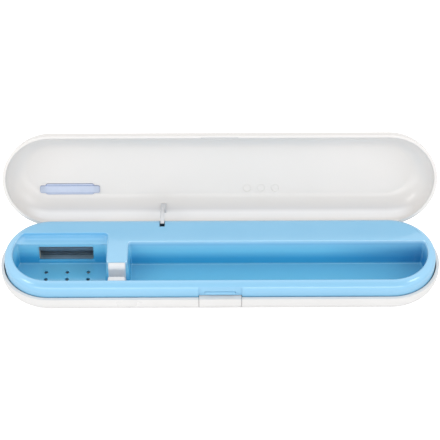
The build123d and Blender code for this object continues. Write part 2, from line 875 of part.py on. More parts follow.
# Latch springs between the posts of the base and the face of the button
spring_low_z = latch_spring_z - latch_spring_radius
button_inside_y = -(case_radius - base_corner_radius) - sqrt(
    (base_corner_radius - shell_wall) ** 2 - (base_corner_radius - spring_low_z) ** 2
)
spring_front_y = button_inside_y + latch_spring_wire / 2
spring_rear_y = latch_post_y - latch_post_thickness - latch_spring_wire / 2
with BuildPart() as latch_springs:
    for side in (-1, 1):
        add(
            coil(
                latch_spring_radius - latch_spring_wire / 2,
                latch_spring_wire,
                latch_spring_turns,
                (side * latch_spring_x, spring_front_y, latch_spring_z),
                spring_rear_y - spring_front_y,
                (0, 1, 0),
            )
        )
save(latch_springs, "latch_springs")

# Neck cradle: two arms with a round-bottomed slot between them
cradle_rear_y = divider_front_y - cradle_gap
slot_radius = cradle_slot_width / 2
slot_rear_y = cradle_slot_front_y + cradle_slot_width
cradle_foot_y = cradle_rear_y - inset_at(deck_height - floor_top)
with BuildPart() as neck_cradle:
    with BuildSketch(Plane.YZ.offset(divider_centre_x - cradle_width / 2)):
        with BuildLine():
            Polyline(
                (cradle_front_y + cradle_foot_chamfer, floor_top),
                (cradle_front_y, floor_top + cradle_foot_chamfer),
                (cradle_front_y, cradle_front_top),
                (cradle_slot_front_y, cradle_front_top),
                (cradle_slot_front_y, cradle_slot_bottom + slot_radius),
            )
            ThreePointArc(
                (cradle_slot_front_y, cradle_slot_bottom + slot_radius),
                (cradle_slot_front_y + slot_radius, cradle_slot_bottom),
                (slot_rear_y, cradle_slot_bottom + slot_radius),
            )
            shoulder_start = (slot_rear_y, deck_height - cradle_shoulder_radius)
            Line((slot_rear_y, cradle_slot_bottom + slot_radius), shoulder_start)
            shoulder_end = (slot_rear_y + cradle_shoulder_radius, deck_height)
            RadiusArc(shoulder_start, shoulder_end, cradle_shoulder_radius)
            Polyline(
                shoulder_end,
                (cradle_rear_y, deck_height),
                (cradle_foot_y, floor_top + cradle_foot_chamfer),
                (cradle_foot_y - cradle_foot_chamfer, floor_top),
                (cradle_front_y + cradle_foot_chamfer, floor_top),
            )
        make_face()
    extrude(amount=cradle_width)
    arm_tops = neck_cradle.faces().filter_by(Axis.Z).sort_by(Axis.Z)[-2:]
    fillet(arm_tops.edges().filter_by(Axis.Y), radius=cradle_edge_radius)
save(neck_cradle, "neck_cradle")

# Lamp tube with its end caps
with BuildPart() as uv_lamp_tube:
    add(rod(lamp_radius, (lamp_left_x, lamp_y, lamp_z), lamp_right_x - lamp_left_x, (1, 0, 0)))
    fillet(uv_lamp_tube.edges(), radius=1.0)
save(uv_lamp_tube, "uv_lamp_tube")


def lamp_cap(mouth_x, direction):
    """A cup over one end of the lamp tube."""
    with BuildPart() as cap:
        add(rod(lamp_cap_radius, (mouth_x, lamp_y, lamp_z), lamp_cap_length, (direction, 0, 0)))
        socket = rod(lamp_radius, (mouth_x, lamp_y, lamp_z), lamp_cap_overlap, (direction, 0, 0))
        add(socket, mode=Mode.SUBTRACT)
    return cap


lamp_cap_left = lamp_cap(lamp_left_x + lamp_cap_overlap, -1)
save(lamp_cap_left, "lamp_cap_left")
lamp_cap_right = lamp_cap(lamp_right_x - lamp_cap_overlap, 1)
save(lamp_cap_right, "lamp_cap_right")

# Lamp holders stand behind the chamber wall, at both ends of the reflector
holder_front_y = chamber_rear_y + tray_wall
holder_left_x = window_left_x - holder_thickness
holder_right_x = window_right_x
holder_rear_y = lamp_y + lamp_cap_radius + 1.2


def lamp_holder(left_x):
    """A plate on the base floor with a round seat for the lamp tube."""
    with BuildPart() as holder:
        add(
            block(
                (left_x, left_x + holder_thickness),
                (holder_front_y, holder_rear_y),
                (shell_wall, lamp_z + lamp_radius + 2),
            )
        )
        seat = rod(lamp_radius + 0.02, (left_x - 1, lamp_y, lamp_z), holder_thickness + 2, (1, 0, 0))
        add(seat, mode=Mode.SUBTRACT)
        add(case_inner, mode=Mode.INTERSECT)
    return holder


lamp_holder_left = lamp_holder(holder_left_x)
save(lamp_holder_left, "lamp_holder_left")
lamp_holder_right = lamp_holder(holder_right_x)
save(lamp_holder_right, "lamp_holder_right")

# Reflector: a bent sheet behind the lamp
with BuildPart() as lamp_reflector:
    with BuildSketch(Plane.YZ.offset(window_left_x)):
        with Locations((lamp_y, lamp_z)):
            Circle(reflector_radius)
            Circle(reflector_radius - reflector_thickness, mode=Mode.SUBTRACT)
            reflector_reach = 2 * (reflector_radius + reflector_front)
            with Locations((reflector_radius, 0)):
                Rectangle(reflector_reach, 3 * reflector_radius, mode=Mode.INTERSECT)
    extrude(amount=window_right_x - window_left_x)
save(lamp_reflector, "lamp_reflector")

# Circuit board and what is soldered to it
with BuildPart() as circuit_board:
    add(block((board_left_x, board_right_x), (board_front_y, board_rear_y), (board_z, board_top)))
    for x, y in board_screw_places:
        hole_radius = board_screw_radius + screw_hole_clearance
        screw_hole = rod(hole_radius, (x, y, board_z - 1), board_thickness + 2, (0, 0, 1))
        add(screw_hole, mode=Mode.SUBTRACT)
save(circuit_board, "circuit_board")

with BuildPart() as board_screws:
    for x, y in board_screw_places:
        add(rod(board_screw_head_radius, (x, y, board_z - board_screw_head), board_screw_head, (0, 0, 1)))
        shank_radius = board_screw_radius - board_pilot_undersize - screw_shank_gap
        add(rod(shank_radius, (x, y, board_z - 0.1), board_screw_length - 0.5, (0, 0, 1)))
save(board_screws, "board_screws")

transformer_x = board_left_x + transformer_left_margin
transformer_y = board_front_y + transformer_front_margin
with BuildPart() as transformer:
    for number, (half_length, half_width) in enumerate(
        (transformer_flange, transformer_core, transformer_flange)
    ):
        low = transformer_levels[number]
        high = transformer_levels[number + 1]
        add(
            block(
                (transformer_x - half_length, transformer_x + half_length),
                (transformer_y - half_width, transformer_y + half_width),
                (board_top + low, board_top + high),
            )
        )
save(transformer, "transformer")

capacitor_foot = (board_left_x + capacitor_left_margin, board_rear_y - capacitor_rear_margin, board_top)
with BuildPart() as capacitor:
    add(rod(capacitor_radius, capacitor_foot, capacitor_height, (0, 0, 1)))
    fillet(capacitor.edges().group_by(Axis.Z)[-1], radius=capacitor_edge_radius)
save(capacitor, "capacitor")

chip_left_x = board_right_x - chip_right_margin
chip_front_y = board_rear_y - chip_rear_margin
with BuildPart() as timer_chip:
    add(
        block(
            (chip_left_x, chip_left_x + chip_length),
            (chip_front_y, chip_front_y + chip_width),
            (board_top, board_top + chip_height),
        )
    )
save(timer_chip, "timer_chip")

transistor_x = board_right_x - transistor_right_margin
transistor_y = board_rear_y - transistor_rear_margin
with BuildPart() as transistor:
    with BuildSketch(Plane.XY.offset(board_top + transistor_standoff)):
        with Locations((transistor_x, transistor_y)):
            Circle(transistor_radius)
            with Locations((0, transistor_flat_y - transistor_radius / 2)):
                Rectangle(3 * transistor_radius, transistor_radius, mode=Mode.SUBTRACT)
    extrude(amount=transistor_height)
    with BuildSketch(Plane.XY.offset(board_top)):
        with Locations((transistor_x, transistor_y)):
            with GridLocations(transistor_lead_pitch, 1, 3, 1):
                Rectangle(transistor_lead_width, transistor_lead_width)
    extrude(amount=transistor_standoff + transistor_lead_overlap)
save(transistor, "transistor")

resistor_left_x = board_right_x - resistor_right_margin
with BuildPart() as resistors:
    for number in range(resistor_count):
        y = board_front_y + resistor_front_margin + resistor_pitch * number
        start = (resistor_left_x, y, board_top + resistor_radius)
        add(rod(resistor_radius, start, resistor_length, (1, 0, 0)))
save(resistors, "resistors")

# Safety switch under the board, with its plunger towards the lid arm
switch_angle = arm_closed_tip_angle - switch_from_tip_angle
switch_y = hinge_y + arm_middle_radius * cos(radians(switch_angle))
switch_z = hinge_z + arm_middle_radius * sin(radians(switch_angle))
arm_left_x = arm_x - arm_width / 2
plunger_tip_x = arm_left_x - arm_cam_height - plunger_cam_gap + switch_travel
switch_right_x = arm_left_x - arm_cam_height - switch_cam_gap
with BuildPart() as switch_body:
    add(
        block(
            (switch_right_x - switch_length, switch_right_x),
            (switch_y - switch_half_width, switch_y + switch_half_width),
            (board_z - switch_height, board_z),
        )
    )
    bore_start = (switch_right_x - plunger_bore_depth, switch_y, switch_z)
    add(rod(plunger_bore_radius, bore_start, plunger_bore_depth + 1, (1, 0, 0)), mode=Mode.SUBTRACT)
save(switch_body, "switch_body")

with BuildPart() as switch_plunger:
    plunger_start = (switch_right_x - plunger_depth, switch_y, switch_z)
    add(rod(plunger_radius, plunger_start, plunger_tip_x - plunger_start[0], (1, 0, 0)))
save(switch_plunger, "switch_plunger")


# Battery cells
def battery_cell(left_x):
    """One AA cell, its positive end to the right."""
    with BuildPart() as cell:
        add(rod(cell_radius, (left_x, cell_y, cell_z), cell_body_length, (1, 0, 0)))
        fillet(cell.edges(), radius=cell_edge_radius)
        nub_start = (left_x + cell_body_length - 0.1, cell_y, cell_z)
        add(rod(cell_nub_radius, nub_start, cell_nub_length + 0.1, (1, 0, 0)))
    return cell


battery_cell_left = battery_cell(cell_row_left_x)
save(battery_cell_left, "battery_cell_left")
battery_cell_right = battery_cell(cell_row_left_x + cell_body_length + cell_nub_length)
save(battery_cell_right, "battery_cell_right")


def contact_plate(left_x):
    """A flat metal contact against an end rib."""
    return block(
        (left_x, left_x + contact_thickness),
        (cell_y - contact_width / 2, cell_y + contact_width / 2),
        (cell_z - contact_height / 2, cell_z + contact_height / 2),
    )


with BuildPart() as battery_spring:
    add(contact_plate(spring_plate_x - contact_thickness))
    add(
        coil(
            battery_spring_radius,
            battery_spring_wire,
            battery_spring_turns,
            (spring_plate_x + battery_spring_wire / 2 - 0.1, cell_y, cell_z),
            battery_spring_length - battery_spring_wire - 0.1,
            (1, 0, 0),
        )
    )
save(battery_spring, "battery_spring")

with BuildPart() as battery_plate:
    add(contact_plate(cell_row_right_x + cell_clearance))
save(battery_plate, "battery_plate")

# Battery door: a piece of the underside, with lips that reach inside the base
with BuildPart() as battery_door:
    add(case_outer)
    add(case_inner, mode=Mode.SUBTRACT)
    add(
        block(
            (door_left_x + door_gap, door_right_x - door_gap),
            (door_front_y + door_gap, door_rear_y - door_gap),
            (-1, base_corner_radius),
        ),
        mode=Mode.INTERSECT,
    )
    door_lip_y = cell_y - door_lip_offset
    for left in (door_left_x - door_lip_length, door_right_x - door_gap - door_lip_hold):
        add(
            block(
                (left, left + door_lip_length + door_gap + door_lip_hold),
                (door_lip_y - door_lip_width / 2, door_lip_y + door_lip_width / 2),
                (shell_wall, shell_wall + door_lip_thickness),
            )
        )
    with BuildSketch():
        with Locations((door_left_x + door_grip_margin, door_front_y + door_grip_distance)):
            with GridLocations(grip_groove_pitch, 1, grip_groove_count, 1):
                Rectangle(grip_groove_width, grip_groove_length)
    extrude(amount=grip_groove_depth, mode=Mode.SUBTRACT)
save(battery_door, "battery_door")

# Case screws
with BuildPart() as case_screws:
    for x, y in case_screw_places:
        add(rod(case_screw_head_radius, (x, y, screw_head_recess), case_screw_head, (0, 0, 1)))
        shank_start = (x, y, screw_head_recess + case_screw_head - 0.1)
        shank_radius = case_screw_radius - case_pilot_undersize - screw_shank_gap
        add(rod(shank_radius, shank_start, case_screw_length, (0, 0, 1)))
save(case_screws, "case_screws")

# Wires from the lamp caps to the underside of the board
left_cap_end_x = lamp_left_x + lamp_cap_overlap - lamp_cap_length
right_cap_end_x = lamp_right_x - lamp_cap_overlap + lamp_cap_length
left_wire_x = left_cap_end_x - lamp_wire_left_reach
right_wire_x = right_cap_end_x + lamp_wire_right_reach
left_board_x, right_board_x = (board_left_x + place for place in lamp_wire_board_places)
left_wire_y = holder_rear_y + wire_radius + lamp_wire_holder_gap
right_wire_z = board_z - lamp_wire_board_drop
with BuildPart() as lamp_wires:
    add(
        wire_run(
            [
                (left_cap_end_x, lamp_y, lamp_z),
                (left_wire_x, lamp_y, lamp_z),
                (left_wire_x, lamp_y, lamp_wire_left_z),
                (left_wire_x, left_wire_y, lamp_wire_left_z),
                (left_board_x, left_wire_y, lamp_wire_left_z),
                (left_board_x, left_wire_y, board_z),
            ]
        )
    )
    add(
        wire_run(
            [
                (right_cap_end_x, lamp_y, lamp_z),
                (right_wire_x, lamp_y, lamp_z),
                (right_wire_x, lamp_y, right_wire_z),
                (right_board_x, lamp_y, right_wire_z),
                (right_board_x, lamp_y, board_z),
            ]
        )
    )
save(lamp_wires, "lamp_wires")

# Wires from the battery contacts over the cells, round the screw boss and past the lid arm to the board
high_run_z = cell_z + cell_radius + wire_over_cells
contact_top_z = cell_z + contact_height / 2
plate_middle_x = cell_row_right_x + cell_clearance + contact_thickness / 2
spring_middle_x = spring_plate_x - contact_thickness / 2
boss_lane_x = bay_screw_x - case_boss_radius - wire_radius - wire_boss_gap
arm_reach_y = hinge_y - sqrt(arm_outer_radius**2 - (high_run_z - hinge_z) ** 2)
arm_lane_y = arm_reach_y - wire_radius - wire_arm_gap
with BuildPart() as battery_wires:
    for number, start_x in enumerate((spring_middle_x, plate_middle_x)):
        row_y = cell_y + wire_rear_offsets[number]
        lane_x = boss_lane_x - wire_lane_pitch * (1 - number)
        lane_y = arm_lane_y - wire_pair_pitch * number
        board_x = board_right_x - wire_board_steps[number]
        board_y = board_rear_y - wire_board_distances[number]
        add(
            wire_run(
                [
                    (start_x, row_y, contact_top_z),
                    (start_x, row_y, high_run_z),
                    (lane_x, row_y, high_run_z),
                    (lane_x, lane_y, high_run_z),
                    (board_right_x + wire_board_steps[0], lane_y, high_run_z),
                    (board_x, board_y, high_run_z),
                    (board_x, board_y, board_top),
                ]
            )
        )
save(battery_wires, "battery_wires")
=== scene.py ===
"""Looks of the toothbrush travel case: materials, light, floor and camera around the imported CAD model."""
from math import cos, radians, sin

import bpy
from mathutils import Matrix, Vector


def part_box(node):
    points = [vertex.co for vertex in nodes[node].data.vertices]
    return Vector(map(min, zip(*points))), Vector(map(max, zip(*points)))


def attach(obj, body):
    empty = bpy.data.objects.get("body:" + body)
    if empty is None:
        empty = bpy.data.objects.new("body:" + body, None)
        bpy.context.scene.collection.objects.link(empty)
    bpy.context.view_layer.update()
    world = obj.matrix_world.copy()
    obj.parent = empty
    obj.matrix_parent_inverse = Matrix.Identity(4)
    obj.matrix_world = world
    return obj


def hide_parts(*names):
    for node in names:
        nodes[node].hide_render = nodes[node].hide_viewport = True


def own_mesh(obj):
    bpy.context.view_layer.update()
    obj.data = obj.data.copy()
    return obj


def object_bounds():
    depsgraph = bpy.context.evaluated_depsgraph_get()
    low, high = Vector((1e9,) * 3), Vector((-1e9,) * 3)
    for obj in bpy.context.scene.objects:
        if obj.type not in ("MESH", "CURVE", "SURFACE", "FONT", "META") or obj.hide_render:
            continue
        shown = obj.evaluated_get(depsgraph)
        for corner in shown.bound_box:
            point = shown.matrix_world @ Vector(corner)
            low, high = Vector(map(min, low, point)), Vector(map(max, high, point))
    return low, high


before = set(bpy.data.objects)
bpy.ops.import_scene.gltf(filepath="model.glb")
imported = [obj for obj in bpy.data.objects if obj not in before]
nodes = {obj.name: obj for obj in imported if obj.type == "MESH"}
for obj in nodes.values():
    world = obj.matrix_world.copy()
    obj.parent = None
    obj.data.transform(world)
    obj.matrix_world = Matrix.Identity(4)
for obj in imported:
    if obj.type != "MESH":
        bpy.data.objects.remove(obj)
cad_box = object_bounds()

# Seen from above the case is a slot: half circles around the two ends of a middle line along X
case_half_width = -cad_box[0][1]
slot_half = cad_box[1][0] - case_half_width

# Most values of a noise texture lie between these two
noise_low = 0.3
noise_high = 0.7

# The smoothest that gloss variation may make a surface, and the depth of a fine grain in metres
least_roughness = 0.02
fine_depth = 0.00003


def srgb(r, g, b):
    """Linear colour from 0-255 screen values."""
    out = []
    for v in (r, g, b):
        c = v / 255.0
        out.append(c / 12.92 if c <= 0.04045 else ((c + 0.055) / 1.055) ** 2.4)
    return (out[0], out[1], out[2], 1.0)


def feed(tree, socket, value):
    """Link another socket into an input, or set the input to a number, vector or colour."""
    if isinstance(value, bpy.types.NodeSocket):
        tree.links.new(value, socket)
    else:
        socket.default_value = value


def add_node(tree, kind, **inputs):
    """A new node with its inputs fed; an underscore in a keyword stands for a space."""
    node = tree.nodes.new(kind)
    for key, value in inputs.items():
        feed(tree, node.inputs[key.replace("_", " ")], value)
    return node


def map_range(tree, value, low, high, out_low, out_high):
    """A number that runs from out_low to out_high while the value runs from low to high."""
    span = {"From_Min": low, "From_Max": high, "To_Min": out_low, "To_Max": out_high}
    return add_node(tree, "ShaderNodeMapRange", Value=value, **span).outputs["Result"]


def dot_product(tree, first, second):
    """The dot product of two vectors."""
    node = tree.nodes.new("ShaderNodeVectorMath")
    node.operation = "DOT_PRODUCT"
    feed(tree, node.inputs[0], first)
    feed(tree, node.inputs[1], second)
    return node.outputs["Value"]


def mix_colours(tree, factor, first, second):
    """A colour that runs from the first to the second with a 0-1 factor."""
    mix = tree.nodes.new("ShaderNodeMix")
    mix.data_type = "RGBA"
    first_in, second_in = [s for s in mix.inputs if s.type == "RGBA"]
    feed(tree, mix.inputs["Factor"], factor)
    feed(tree, first_in, first)
    feed(tree, second_in, second)
    return [s for s in mix.outputs if s.type == "RGBA"][0]


class Surface:
    """A node material built up step by step around one Principled shader."""

    def __init__(self, name, colour, roughness, **sockets):
        self.material = bpy.data.materials.new(name)
        self.material.use_nodes = True
        self.tree = self.material.node_tree
        self.shader = self.tree.nodes["Principled BSDF"]
        self.shader.inputs["Base Color"].default_value = colour
        self.shader.inputs["Roughness"].default_value = roughness
        for key, value in sockets.items():
            self.shader.inputs[key.replace("_", " ")].default_value = value
        self.colour = colour
        self.roughness = roughness
        self.place = self.node("ShaderNodeTexCoord").outputs["Object"]
        self.normal = None

    def node(self, kind, **inputs):
        """A new node in this material."""
        return add_node(self.tree, kind, **inputs)

    def position(self):
        """The X, Y and Z of each point, as it is at rest in the shared frame."""
        return self.node("ShaderNodeSeparateXYZ", Vector=self.place).outputs

    def noise(self, scale, detail=3.0, stretch=None):
        """A 0-1 noise value, drawn out along an axis where stretch is below 1."""
        place = self.place
        if stretch:
            place = self.node("ShaderNodeMapping", Vector=place, Scale=stretch).outputs["Vector"]
        return self.node("ShaderNodeTexNoise", Vector=place, Scale=scale, Detail=detail).outputs["Fac"]

    def stripes(self, scale, direction):
        """A 0-1 value in straight stripes that follow each other along one axis."""
        wave = self.node("ShaderNodeTexWave", Vector=self.place, Scale=scale, Distortion=0.0)
        wave.bands_direction = direction
        return wave.outputs["Fac"]

    def ramp(self, value, low, high, out_low, out_high):
        """A number that runs from out_low to out_high while the value runs from low to high."""
        return map_range(self.tree, value, low, high, out_low, out_high)

    def math(self, operation, *values):
        """One math node on numbers or sockets."""
        node = self.node("ShaderNodeMath")
        node.operation = operation
        for socket, value in zip(node.inputs, values):
            feed(self.tree, socket, value)
        return node.outputs[0]

    def above(self, value, limit):
        """1 where the value is above the limit."""
        return self.math("GREATER_THAN", value, limit)

    def below(self, value, limit):
        """1 where the value is below the limit."""
        return self.math("LESS_THAN", value, limit)

    def all_of(self, first, *others):
        """The product of 0-1 values, so 1 where all of them are 1."""
        for other in others:
            first = self.math("MULTIPLY", first, other)
        return first

    def reach_from_axis(self):
        """Level distance from the middle line of the slot-shaped case."""
        x, y, _ = self.position()
        past_end = self.math("SUBTRACT", self.math("ABSOLUTE", x), slot_half)
        past_end = self.math("MAXIMUM", past_end, 0.0)
        squares = self.math("ADD", self.math("POWER", past_end, 2.0), self.math("POWER", y, 2.0))
        return self.math("SQRT", squares)

    def tint(self, value, other, low=noise_low, high=noise_high):
        """Colour runs from the main one to another with a 0-1 value."""
        factor = self.ramp(value, low, high, 0.0, 1.0)
        colour = mix_colours(self.tree, factor, self.colour, other)
        self.tree.links.new(colour, self.shader.inputs["Base Color"])

    def blend_to(self, factor, other):
        """Blend what colours the shader now into another colour or colour socket, by a 0-1 value."""
        base = self.shader.inputs["Base Color"]
        colour = mix_colours(self.tree, factor, base.links[0].from_socket, other)
        self.tree.links.new(colour, base)

    def colour_steps(self, value, steps):
        """A colour that runs through steps of (value, colour)."""
        lowest = steps[0][0]
        highest = steps[-1][0]
        node = self.node("ShaderNodeValToRGB", Fac=self.ramp(value, lowest, highest, 0.0, 1.0))
        while len(node.color_ramp.elements) < len(steps):
            node.color_ramp.elements.new(0.5)
        for element, (level, colour) in zip(node.color_ramp.elements, steps):
            element.position = (level - lowest) / (highest - lowest)
            element.color = colour
        return node.outputs["Color"]

    def vary_roughness(self, value, spread):
        """Roughness varies either way with a noise value."""
        smoothest = max(least_roughness, self.roughness - spread)
        out = self.ramp(value, noise_low, noise_high, smoothest, self.roughness + spread)
        self.tree.links.new(out, self.shader.inputs["Roughness"])

    def use_normal(self, normal):
        """Shade with this normal from now on."""
        self.normal = normal
        self.tree.links.new(normal, self.shader.inputs["Normal"])

    def bump(self, value, distance, strength):
        """A relief by a 0-1 height, on top of what bends the normal already."""
        node = self.node("ShaderNodeBump", Strength=strength, Distance=distance, Height=value)
        if self.normal is not None:
            self.tree.links.new(self.normal, node.inputs["Normal"])
        self.use_normal(node.outputs["Normal"])

    def rounded_normal(self, radius, samples):
        """The normal as if edges were rounded."""
        node = self.node("ShaderNodeBevel", Radius=radius)
        node.samples = samples
        return node.outputs["Normal"]


def dress(surface, *names):
    """Give CAD nodes a material."""
    for name in names:
        mesh = nodes[name].data
        mesh.materials.clear()
        mesh.materials.append(surface.material)


def moulded(name, colour, other, roughness, grain, grain_depth, **sockets):
    """Injection moulded plastic: soft edges, faint clouds, slow gloss variation and a fine grain."""
    s = Surface(name, colour, roughness, **sockets)
    s.use_normal(s.rounded_normal(radius=0.0003, samples=6))
    s.tint(s.noise(scale=22.0, detail=4.0), other)
    s.vary_roughness(s.noise(scale=60.0, detail=2.0), spread=0.05)
    s.bump(s.noise(grain, detail=2.0), grain_depth, strength=0.5)
    return s


def grained(name, colour, other, roughness, clouds, grain, depth=fine_depth, strength=0.5):
    """A plain material of small parts: clouds of a second colour and a fine grain."""
    s = Surface(name, colour, roughness)
    s.tint(s.noise(clouds), other)
    s.bump(s.noise(grain), depth, strength)
    return s


def drawn_grain(surface, grain, along):
    """The grain of drawn metal, drawn out along X."""
    surface.bump(surface.noise(grain, detail=2.0, stretch=(along, 1.0, 1.0)), fine_depth, strength=0.6)


white = moulded(
    "white_gloss",
    srgb(222, 221, 220),
    srgb(219, 218, 217),
    roughness=0.32,
    grain=2600.0,
    grain_depth=0.00002,
    Specular_IOR_Level=0.45,
)
lid_white = moulded(
    "white_lid",
    srgb(226, 222, 219),
    srgb(223, 220, 217),
    roughness=0.22,
    grain=2600.0,
    grain_depth=0.00001,
    Specular_IOR_Level=0.55,
)
blue = moulded(
    "blue_gloss",
    srgb(138, 194, 227),
    srgb(134, 191, 225),
    roughness=0.12,
    grain=900.0,
    grain_depth=0.00001,
    Specular_IOR_Level=1.0,
)
cradle_white = moulded(
    "white_cradle",
    srgb(220, 221, 224),
    srgb(215, 217, 220),
    roughness=0.35,
    grain=2200.0,
    grain_depth=0.00002,
)
arm_grey = moulded(
    "grey_arm",
    srgb(204, 206, 209),
    srgb(198, 200, 203),
    roughness=0.4,
    grain=1800.0,
    grain_depth=0.00003,
)
black_plastic = moulded(
    "black_plastic",
    srgb(34, 34, 37),
    srgb(28, 28, 31),
    roughness=0.45,
    grain=1500.0,
    grain_depth=0.00004,
)

# Painted shade and highlight: inside its cavities the tray is coloured by height, a deeper blue low down
# where shade falls and lighter at the rim
cavity_reach = 0.0206
deck_height = 0.01985
painted_cavity_shade_steps = (
    (0.0030, srgb(106, 184, 219)),
    (0.0042, srgb(50, 164, 213)),
    (0.0070, srgb(62, 170, 217)),
    (0.0120, srgb(128, 210, 241)),
    (0.0160, srgb(140, 208, 238)),
    (0.0172, srgb(134, 195, 229)),
    (0.0190, srgb(172, 216, 240)),
)
tray_x, tray_y, tray_z = blue.position()
inside = blue.below(blue.reach_from_axis(), cavity_reach)
in_cavity = blue.all_of(inside, blue.below(tray_z, deck_height))
blue.blend_to(in_cavity, blue.colour_steps(tray_z, painted_cavity_shade_steps))

# Painted shade: the ledge behind the head chamber darkens toward the back
ledge_front = 0.0082
ledge_shade_start = 0.0090
ledge_shade_full = 0.0128
ledge_shade_least = 0.2
behind_chamber = blue.above(tray_y, ledge_front)
ledge_shade = blue.ramp(tray_y, ledge_shade_start, ledge_shade_full, ledge_shade_least, 1.0)
blue.blend_to(blue.all_of(in_cavity, behind_chamber, ledge_shade), srgb(112, 182, 224))

# Painted shade: the walls of the trough darken toward its right end, and its floor a little
end_shade_start = 0.055
end_shade_full = 0.104
end_shade_most = 0.6
wall_shade_top = 0.0190
wall_shade_full = 0.0120
trough_floor = 0.0031
trough_wall_foot = 0.0044
floor_shade_share = 0.15
toward_end = blue.ramp(tray_x, end_shade_start, end_shade_full, 0.0, end_shade_most)
low_in_trough = blue.ramp(tray_z, wall_shade_top, wall_shade_full, 0.0, 1.0)
off_floor = blue.ramp(tray_z, trough_floor, trough_wall_foot, floor_shade_share, 1.0)
blue.blend_to(blue.all_of(inside, low_in_trough, toward_end, off_floor), srgb(24, 108, 172))

# Painted light and shade: a lighter band low on the inside of the open lid, with a darker edge, in its
# rounded corner at the hinge: (Y, colour)
band_bottom = 0.0112
band_full = 0.0125
band_top = 0.0165
painted_light_band_steps = (
    (0.0300, srgb(226, 222, 219)),
    (0.0325, srgb(240, 238, 237)),
    (0.0362, srgb(243, 242, 242)),
    (0.0385, srgb(219, 217, 217)),
    (0.0420, srgb(226, 223, 220)),
)
_, lid_y, lid_z = lid_white.position()
in_painted_light_band = lid_white.all_of(
    lid_white.above(lid_z, band_bottom),
    lid_white.ramp(lid_z, band_top, band_full, 0.0, 1.0),
)
lid_white.blend_to(in_painted_light_band, lid_white.colour_steps(lid_y, painted_light_band_steps))

# Grey ribbed foil on the floor of the base under the lamp
lamp_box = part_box("lamp_reflector")
foil_middle = (lamp_box[0][0] + lamp_box[1][0]) / 2
foil_half = (lamp_box[1][0] - lamp_box[0][0]) / 2
foil_front = 0.0062
foil_back = lamp_box[1][1]
foil_bottom = 0.0012
foil_top = 0.0045
base_x, base_y, base_z = white.position()
on_foil = white.all_of(
    white.below(white.math("ABSOLUTE", white.math("ADD", base_x, -foil_middle)), foil_half),
    white.above(base_y, foil_front),
    white.below(base_y, foil_back),
    white.above(base_z, foil_bottom),
    white.below(base_z, foil_top),
)
foil_steps = (
    (0.0, srgb(128, 158, 180)),
    (1.0, srgb(176, 204, 222)),
)
white.blend_to(on_foil, white.colour_steps(white.stripes(260.0, "Y"), foil_steps))

dress(white, "base_shell", "battery_door", "latch_button")
dress(lid_white, "lid_shell")
dress(blue, "inner_tray", "latch_catch")
dress(cradle_white, "neck_cradle")
dress(arm_grey, "lid_arm", "switch_plunger")
dress(black_plastic, "switch_body", "timer_chip", "transistor")

# The lens of the lid, darker along its edges
lens = Surface("lens", srgb(208, 217, 236), 0.12, Transmission_Weight=0.3, IOR=1.49)
lens.tint(lens.noise(180.0), srgb(214, 223, 242))
true_normal = lens.node("ShaderNodeNewGeometry").outputs["True Normal"]
flatness = dot_product(lens.tree, lens.rounded_normal(radius=0.0007, samples=8), true_normal)
flat_from = 0.99
edge_from = 0.86
lens.blend_to(lens.ramp(flatness, flat_from, edge_from, 0.0, 1.0), srgb(150, 166, 206))
lens.bump(lens.noise(300.0), fine_depth, 0.4)
dress(lens, "lid_window")

# The lamp tube and the reflector behind it, both with fine lines along X
glass = Surface("lamp_glass", srgb(150, 166, 178), 0.06, Transmission_Weight=0.3, IOR=1.46)
glass.tint(glass.stripes(300.0, "Z"), srgb(118, 134, 148))
glass.vary_roughness(glass.noise(150.0), 0.02)
dress(glass, "uv_lamp_tube")

mirror = Surface("reflector_metal", srgb(158, 178, 192), 0.3, Metallic=0.6)
mirror.tint(mirror.stripes(300.0, "Z"), srgb(118, 146, 168))
drawn_grain(mirror, grain=400.0, along=0.04)
dress(mirror, "lamp_reflector")

cap_metal = Surface("cap_metal", srgb(190, 191, 194), 0.3, Metallic=1.0)
cap_metal.tint(cap_metal.noise(120.0), srgb(166, 166, 170))
drawn_grain(cap_metal, grain=700.0, along=0.05)
dress(cap_metal, "lamp_cap_left", "lamp_cap_right")

steel = Surface("steel", srgb(176, 176, 180), 0.28, Metallic=1.0)
steel.tint(steel.noise(150.0), srgb(148, 148, 152))
drawn_grain(steel, grain=900.0, along=0.06)
dress(steel, "hinge_pins", "case_screws", "board_screws", "latch_springs")
dress(steel, "battery_spring", "battery_plate")

# The latch springs, which are pressed together when the button goes in, get their own copy of the mesh on
# the case body
coils = bpy.data.objects.new("latch_coils", nodes["latch_springs"].data.copy())
bpy.context.scene.collection.objects.link(coils)
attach(coils, "case")
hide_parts("latch_springs")
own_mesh(coils)

# Small parts inside the case
ceramic = grained(
    "ceramic",
    srgb(226, 220, 204),
    srgb(210, 203, 186),
    roughness=0.6,
    clouds=140.0,
    grain=1200.0,
    depth=0.00004,
    strength=0.6,
)
dress(ceramic, "lamp_holder_left", "lamp_holder_right")

resistor = Surface("resistor_body", srgb(202, 182, 140), 0.45)
resistor.tint(resistor.stripes(420.0, "X"), srgb(104, 52, 34), low=0.78, high=0.82)
resistor.bump(resistor.noise(1500.0), fine_depth, 0.5)
dress(resistor, "resistors")

# Raised patches of a second green stand for the copper tracks under the lacquer
board = Surface("board", srgb(30, 104, 58), 0.35)
tracks = board.noise(330.0, detail=1.0, stretch=(1.0, 0.2, 1.0))
board.tint(tracks, srgb(20, 84, 46), low=0.48, high=0.52)
board.bump(tracks, fine_depth, 0.5)
dress(board, "circuit_board")

ferrite = grained(
    "ferrite",
    srgb(52, 50, 52),
    srgb(66, 62, 60),
    roughness=0.6,
    clouds=260.0,
    grain=1400.0,
    depth=0.00006,
    strength=0.8,
)
dress(ferrite, "transformer")

can = grained(
    "capacitor_sleeve", srgb(30, 42, 88), srgb(24, 34, 74), roughness=0.3, clouds=120.0, grain=500.0
)
dress(can, "capacitor")

